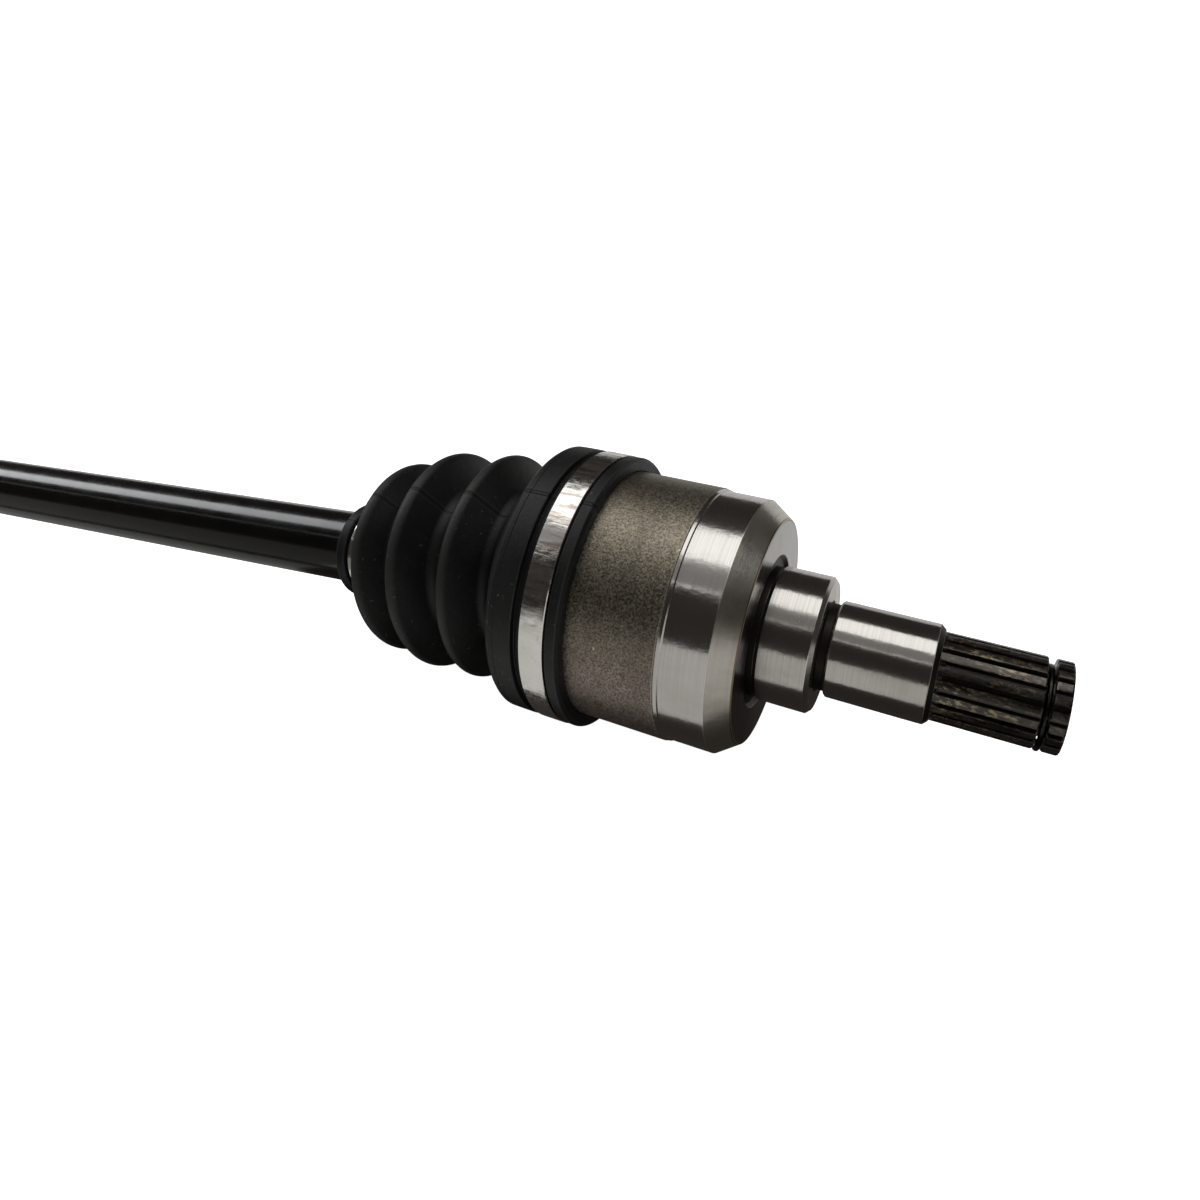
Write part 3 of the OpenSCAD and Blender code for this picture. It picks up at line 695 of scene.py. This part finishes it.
THREAD_R, THREAD_PITCH, THREAD_START, THREAD_END = 11.0, 1.5, 89.0, 110.0
turns = np.linspace(0, 1, 96, endpoint=False)
thread_h = [85.98, 85.98, 86.5]
thread_r = [0.0, 10.0, 10.0]
for h in np.arange(THREAD_START - 1, THREAD_END - 1.2, THREAD_PITCH / 10):
    phase = (h / THREAD_PITCH - turns) % 1
    tooth = np.clip(1.15 - 2.3 * np.abs(phase - 0.5), 0, 1)
    depth = 0.83 * min(1.0, max(0.0, (h - THREAD_START + 1) / 1.2))
    thread_h.append(h)
    thread_r.append(np.minimum(THREAD_R - 0.02 - depth * tooth, 10.0 + (h - THREAD_START + 1)))
thread_h += [THREAD_END - 1, THREAD_END - 0.4, THREAD_END, THREAD_END]
thread_r += [9.9, 9.2, 8.7, 0.0]
grid("nut_thread", thread_h, [np.broadcast_to(np.asarray(r, float), (96,)) for r in thread_r],
     [0] * len(thread_h), [bell_turned], AT_OUTER, "outer_housing_set", sharp=50)

# ---------------------------------------------------------------- boots

BOOT_WALL = 1.8
CUFF_BORE = 13.3
BEND_START, BEND_END = -87.0, -22.0
LEAN = math.radians(4.6)
LEAN_START, LEAN_PEAK, LEAN_END = -94.0, -84.0, -24.0
RUBBER = 0

# The cuff on the bar, then [station, radius, roundness] of each valley and crest, for the two boots
CUFF = [[-104.8, CUFF_BORE, 0], [-104.8, 17.2, 1.3], [-100.8, 17.0, 0.8], [-100.5, 15.3, 0.15],
        [-94.2, 15.3, 0.2], [-94.0, 16.3, 0.4]]
INNER_FOLDS = [[-90.5, 16.4, 1.0], [-80.2, 33.0, 2.4], [-71.5, 24.0, 3.0], [-62.5, 36.9, 2.4],
               [-53.5, 25.5, 3.2], [-43.2, 37.5, 2.2], [-33.8, 27.5, 2.5]]
OUTER_FOLDS = [[-90.5, 16.4, 1.0], [-85, 26.0, 2.0], [-79.5, 20.0, 1.6], [-73.75, 30.0, 2.0],
               [-68, 24.0, 1.8], [-62, 33.5, 2.2], [-56, 28.0, 1.8], [-49.75, 36.5, 2.2], [-43.5, 30.5, 1.8],
               [-37.25, 39.0, 2.2], [-31, 33.0, 1.5]]
# The ridge with its fine line, the clamp's groove and the lip
LARGE_END = [[-24.0, 42.2, 1.2], [-22.8, 43.1, 0.6], [-21.4, 43.12, 0.1], [-21.2, 42.92, 0.1],
             [-21.0, 43.14, 0.1], [-15.3, 43.2, 0.5], [-15.2, 41.3, 0.3], [-12.9, 41.5, 0.3],
             [-12.4, 42.3, 0.2], [-4.5, 42.3, 0.2], [-4.2, 43.1, 0.5], [-1.2, 43.2, 0.8], [-0.4, 42.0, 0.4]]
MOUTH = -22.9


def droop_at(h):
    """The turn that the gearbox boot has taken up at h, and how far its fold leans back above the bar."""
    share = min(1.0, max(0.0, (h - BEND_START) / (BEND_END - BEND_START)))
    rise = min(1.0, max(0.0, (h - LEAN_START) / (LEAN_PEAK - LEAN_START)))
    fade = min(1.0, max(0.0, (h - LEAN_PEAK) / (LEAN_END - LEAN_PEAK)))
    return DROOP * share, -LEAN * rise * rise * (3 - 2 * rise) * (1 - fade ** 1.6)


def boot_bend(h):
    """droop_at(h) and its rates."""
    step = 0.01
    ahead, behind = droop_at(h + step), droop_at(h - step)
    return (*droop_at(h), *((a - b) / (2 * step) for a, b in zip(ahead, behind)))


def fold_corners(before, folds, after):
    """Corners whose rounded crests and valleys come out at the radii asked for."""
    line = [before] + folds + [after]
    radii = [r for h, r, fillet in line]
    for _ in range(60):
        for i in range(1, len(line) - 1):
            rise = math.atan2(radii[i] - radii[i - 1], line[i][0] - line[i - 1][0])
            fall = math.atan2(radii[i] - radii[i + 1], line[i + 1][0] - line[i][0])
            reach = line[i][2] * (math.cos((rise - fall) / 2) / math.cos((rise + fall) / 2) - 1)
            radii[i] = line[i][1] + math.copysign(reach, rise + fall)
    return [[h, r, fillet] for (h, _, fillet), r in zip(line[1:-1], radii[1:-1])]


def refined(rows, step):
    """The same rows, with more of them along the long straight stretches."""
    dense = [rows[0]]
    for row in rows[1:]:
        last = dense[-1]
        extra = int(math.hypot(row[0] - last[0], row[1] - last[1]) / step)
        for k in range(1, extra + 1):
            share = k / (extra + 1)
            dense.append([a + (b - a) * share for a, b in zip(last[:5], row[:5])] + [row[5]])
        dense.append(row)
    return dense


def make_boot(prefix, folds, bore_r, place, bend, node, cuts, stretches):
    """A boot in lengths that end at the stations in cuts, baked into place on no body; the ends of each
    length's stretch are worked out but not used.
    """
    corners = CUFF + fold_corners(CUFF[-1], folds, LARGE_END[0]) + LARGE_END + [[LARGE_END[-1][0], bore_r, 0]]
    rows = refined(rounded([corner + [RUBBER] for corner in corners], steps=8), 1.6)
    first = min(range(len(rows)),
                key=lambda i: math.hypot(rows[i][0] - folds[0][0], rows[i][1] - folds[0][1]))
    last = min(range(len(rows)),
               key=lambda i: math.hypot(rows[i][0] - folds[-1][0], rows[i][1] - folds[-1][1]))
    marks = [min(range(first, last + 1), key=lambda i: abs(rows[i][0] - cut)) for cut in cuts]
    starts, stops = [0] + marks, marks + [len(rows) - 1]
    bore = rounded([[folds[0][0], 14.1, 0, RUBBER], [folds[0][0] - 1, CUFF_BORE, 0, RUBBER],
                    [CUFF[0][0], CUFF_BORE, 0, RUBBER]])
    mouth = rounded([[LARGE_END[-1][0], bore_r, 0, RUBBER], [MOUTH, bore_r, 0, RUBBER],
                     [MOUTH, folds[-1][1] + 4.5, 0, RUBBER],
                     [folds[-1][0], folds[-1][1] - BOOT_WALL, 0, RUBBER]])
    for i, (start, stop) in enumerate(zip(starts, stops)):
        inside = flipped(moved_in(rows[max(start, first):min(stop, last) + 1], BOOT_WALL, 14.1))
        parts = [rows[start:stop + 1], inside]
        if i == 0:
            parts = [rows[start:stop + 1], inside, bore]
        if stop == len(rows) - 1:
            parts = [rows[start:stop + 1], mouth, inside]
        label = "cuff" if i == 0 else "collar" if i == len(cuts) else f"folds_{i}"
        piece = turned(f"{prefix}_{label}", joined(*parts), [rubber], place, None,
                       closed=True, bend=bend)
        ends = [place @ (Matrix.Rotation(bend(h)[0] if bend else 0.0, 4, "Y") @ Vector((h * MM, 0, 0)))
                for h in stretches[i]]
        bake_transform(piece)
        if i == 0:
            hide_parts(node)


make_boot("inner_boot", INNER_FOLDS, 39.3, AT_INNER, boot_bend, "inner_boot", [-80.2, -62.5, -43.2, -33.8],
          [(-94.0, -81.5), (-77.0, -63.7), (-57.0, -44.4), (-42.0, -35.0), (-33.2, -24.2)])
make_boot("outer_boot", OUTER_FOLDS, 40.3, AT_OUTER, None, "outer_boot", [-47.5, -45.5, -43.5],
          [(-80.0, -48.0), (-47.3, -45.7), (-45.3, -43.7), (-43.3, -22.5)])

# ---------------------------------------------------------------- clamps


def clamp_ring(name, h, inner_r, width, ear_l, ear_h, place, body, node):
    """A strip bent round the boot and crimped into an ear that faces down."""
    thick = 0.8
    mid = inner_r + thick / 2
    half = ear_l / 2
    top = ear_h - thick
    ear = [(-half, 0.0), (-half * 0.8, 0.12), (-half * 0.62, 0.45), (-half * 0.55, top * 0.6),
           (-half * 0.6, top * 0.9), (-half * 0.45, top), (0.0, top), (half * 0.45, top),
           (half * 0.6, top * 0.9), (half * 0.55, top * 0.6), (half * 0.62, 0.45), (half * 0.8, 0.12),
           (half, 0.0)]
    line = [(side / mid, mid + out) for side, out in ear]
    span = 2 * math.pi - 2 * half / mid
    count = 180
    line += [(half / mid + span * k / count, mid) for k in range(1, count)]
    points = [np.array([r * math.sin(a), -r * math.cos(a)]) for a, r in line]
    e = 0.22
    w, t = width / 2, thick / 2
    outline = [(-w, -t + e, 0.6), (-w, t - e, 0.6), (-w + e, t, 1), (-w + 2.4 * e, t, 0), (w - 2.4 * e, t, 0),
               (w - e, t, 1), (w, t - e, 0.6), (w, -t + e, 0.6), (w - e, -t, 0), (-w + e, -t, 0)]
    verts, worn, faces = [], [], []
    n, m = len(points), len(outline)
    for i, p in enumerate(points):
        way = unit(points[(i + 1) % n] - points[i - 1])
        out = np.array([way[1], -way[0]])
        for x, lift, wear in outline:
            q = p + out * lift
            verts.append((h + x, q[0], q[1]))
            worn.append(wear)
    for i in range(n):
        a, b = i * m, ((i + 1) % n) * m
        for j in range(m):
            j2 = (j + 1) % m
            faces.append((a + j, b + j, b + j2, a + j2))
    verts = np.array(verts) * MM
    piece = new_piece(name, verts, faces, [0] * len(faces), [clamp], place, body)
    add_attributes(piece.data, verts, worn)
    piece.data.set_sharp_from_angle(angle=math.radians(38))
    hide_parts(node)
    return piece


# Station, inner radius and width of each band; length and height of its ear
LARGE_BAND = (-8.7, 42.5, 7.6)
SMALL_BAND = (-97.1, 15.4, 5.2)
EAR = (9, 2.6)

clamp_ring("inner_clamp_large", *LARGE_BAND, *EAR, AT_HOUSING, "inner_housing_set", "inner_boot_clamp_large")
clamp_ring("inner_clamp_small", *SMALL_BAND, *EAR, AT_INNER, "shaft", "inner_boot_clamp_small")
clamp_ring("outer_clamp_large", *LARGE_BAND, *EAR, AT_OUTER, "outer_housing_set", "outer_boot_clamp_large")
clamp_ring("outer_clamp_small", *SMALL_BAND, *EAR, AT_OUTER, "shaft", "outer_boot_clamp_small")

# ---------------------------------------------------------------- stage, light and camera

FLOOR_Z = cad_low.z - 0.0005


def studio_floor():
    """A pale floor that curves up all round into a plain backdrop."""
    flat, far, high, sides = 2.4, 4.6, 5.5, 96
    line = [(0.0, 0.0), (0.3, 0.0), (0.8, 0.0), (flat, 0.0)]
    line += [(flat + (far - flat) * math.sin(math.radians(a)), (far - flat) * (1 - math.cos(math.radians(a))))
             for a in range(10, 91, 10)]
    line += [(far, 3.6), (far * 0.8, high), (0.0, high + 0.8)]
    verts, faces, rings = [], [], []
    for r, z in line:
        count = 1 if r == 0 else sides
        rings.append((len(verts), count))
        for j in range(count):
            a = 2 * math.pi * j / sides
            verts.append((r * math.cos(a), r * math.sin(a), FLOOR_Z + z))
    for (a, na), (b, nb) in zip(rings, rings[1:]):
        for j in range(sides):
            j2 = (j + 1) % sides
            if na == 1:
                faces.append((a, b + j, b + j2))
            elif nb == 1:
                faces.append((a + j, b, a + j2))
            else:
                faces.append((a + j, b + j, b + j2, a + j2))
    mesh = bpy.data.meshes.new("studio_floor")
    mesh.from_pydata(verts, [], faces)
    mesh.polygons.foreach_set("use_smooth", [True] * len(faces))
    look = Look("studio_floor", Roughness=0.9, Specular_IOR_Level=0.1)
    place = look.put("TexCoord", {}, "Object")
    away = look.put("VectorMath", {0: place}, "Value", operation="LENGTH")
    paper = look.noise(place, 3.0, 2.0, 0.5)
    look.set(Base_Color=look.mix(paper, (0.86, 0.86, 0.86), (0.9, 0.9, 0.9)),
             Emission_Strength=look.span(away, 0.25, 1.4, 1.0, 1.05))
    look.shader.inputs["Emission Color"].default_value = (1, 1, 1, 1)
    look.material.cycles.emission_sampling = "NONE"
    mesh.materials.append(look.material)
    floor = bpy.data.objects.new("studio_floor", mesh)
    bpy.context.scene.collection.objects.link(floor)
    floor.visible_glossy = False
    floor.visible_diffuse = False
    floor.visible_shadow = False
    floor.visible_transmission = False


def softbox(name, centre, facing, along, length, width, radiance, colour):
    """A soft rectangular light, by how bright it looks when reflected."""
    light = bpy.data.lights.new(name, "AREA")
    light.shape = "RECTANGLE"
    light.size, light.size_y = length, width
    light.energy = radiance * math.pi * length * width
    light.color = colour
    lamp = bpy.data.objects.new(name, light)
    bpy.context.scene.collection.objects.link(lamp)
    back = -Vector(facing).normalized()
    x = Vector(along).normalized()
    y = back.cross(x).normalized()
    lamp.matrix_world = Matrix.Translation(centre) @ Matrix((x, y, back)).transposed().to_4x4()
    lamp.visible_camera = False
    return lamp


studio_floor()
softbox("overhead", (0.375, 0.22, 0.9), (0, 0, -1), (1, 0, 0), 1.65, 0.58, 1.5, (1.0, 0.995, 0.985))
softbox("overhead_far", (-1.325, 0.2, 0.9), (0, 0, -1), (1, 0, 0), 1.75, 0.5, 3.2, (0.97, 0.985, 1.0))
softbox("overhead_edge", (0.375, -0.28, 0.9), (0, 0.25, -1), (1, 0, 0), 1.65, 0.4, 0.22, (1.0, 0.99, 0.98))
softbox("strip", (-0.5, -0.49, 0.9), (0, 0.5, -0.9), (1, 0, 0), 3.4, 0.025, 1.2, (1.0, 0.98, 0.95))
softbox("front_fill", (0.69, -0.68, 0.14), (0, 0.277, 0.961), (1, 0, 0), 1.22, 1.3, 0.52, (1.0, 0.995, 0.97))
softbox("front_fill_far", (-0.61, -0.68, 0.14), (0, 0.277, 0.961), (1, 0, 0), 1.38, 1.3, 0.15,
        (1.0, 0.995, 0.97))
softbox("under_fill", (-0.45, -0.02, -0.075), (0, 0, 1), (1, 0, 0), 1.0, 0.09, 0.2, (1.0, 1.0, 0.99))
softbox("back_fill", (0.0, 0.62, 0.0), (0, -0.1, 1), (1, 0, 0), 2.6, 1.15, 0.55, (1.0, 0.995, 0.98))

world = bpy.data.worlds.new("studio")
bpy.context.scene.world = world
world.use_nodes = True
world.node_tree.nodes["Background"].inputs["Color"].default_value = (0.032, 0.028, 0.025, 1)
world.node_tree.nodes["Background"].inputs["Strength"].default_value = 1.0

CAMERA_AT = INNER + Vector((0.11558, -0.19338, 0.16711))
CAMERA_WAY = Vector((-0.45012, 0.75046, -0.48395))
CAMERA_ROLL = math.radians(-10.12)
camera_data = bpy.data.cameras.new("camera")
camera_data.sensor_width = 36
camera_data.lens = 26.27
camera_data.shift_y = -0.10235
camera_data.clip_start, camera_data.clip_end = 0.01, 30
camera = bpy.data.objects.new("camera", camera_data)
bpy.context.scene.collection.objects.link(camera)
camera.rotation_mode = "QUATERNION"
camera.location = CAMERA_AT
camera.rotation_quaternion = CAMERA_WAY.to_track_quat("-Z", "Y") @ Quaternion((0, 0, 1), CAMERA_ROLL)
bpy.context.scene.camera = camera
bpy.context.scene.view_settings.view_transform = "Standard"

bpy.context.view_layer.update()
